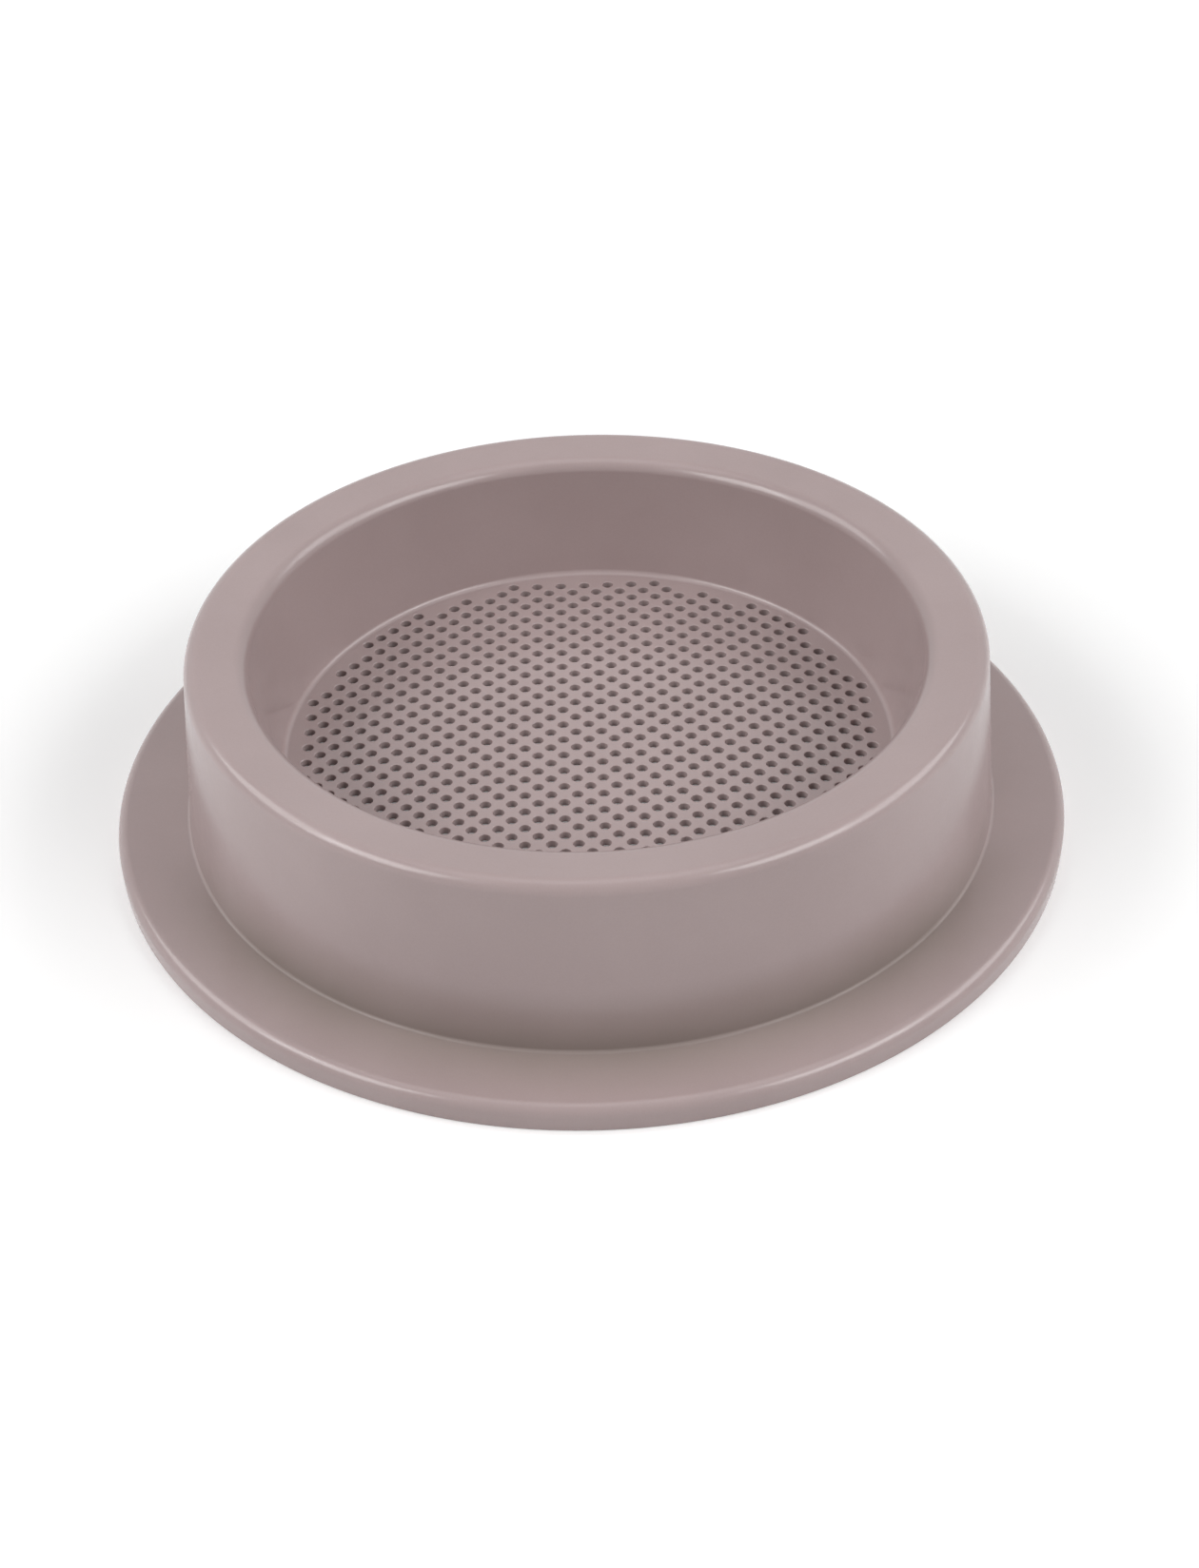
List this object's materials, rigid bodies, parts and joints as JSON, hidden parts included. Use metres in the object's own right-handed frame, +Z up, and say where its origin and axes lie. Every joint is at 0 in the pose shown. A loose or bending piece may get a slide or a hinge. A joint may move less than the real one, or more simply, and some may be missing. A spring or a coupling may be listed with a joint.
{
  "type": "sand sieve",
  "caption": "Round beach sieve: a double-walled collar round a hopper with a perforated floor, on a flat brim whose turned-down skirt drops over a bucket's rim.",
  "frame": {"origin": "centre of the circle that the skirt's lower edge stands on", "axes": "+Z up along the sieve's axis, from the skirt to the rim; +X and +Y run across it, at 45 degrees to the rows of holes"},
  "size_m": [0.2098, 0.2098, 0.0451],
  "materials": {
    "mauve_plastic": "satin gloss moulded polypropylene, mauve grey"
  },
  "bodies": {
    "root": {"skirt": "mauve_plastic", "brim": "mauve_plastic", "collar_wall": "mauve_plastic", "rim": "mauve_plastic", "hopper_wall": "mauve_plastic", "sieve_floor": "mauve_plastic"}
  },
  "joints": []
}
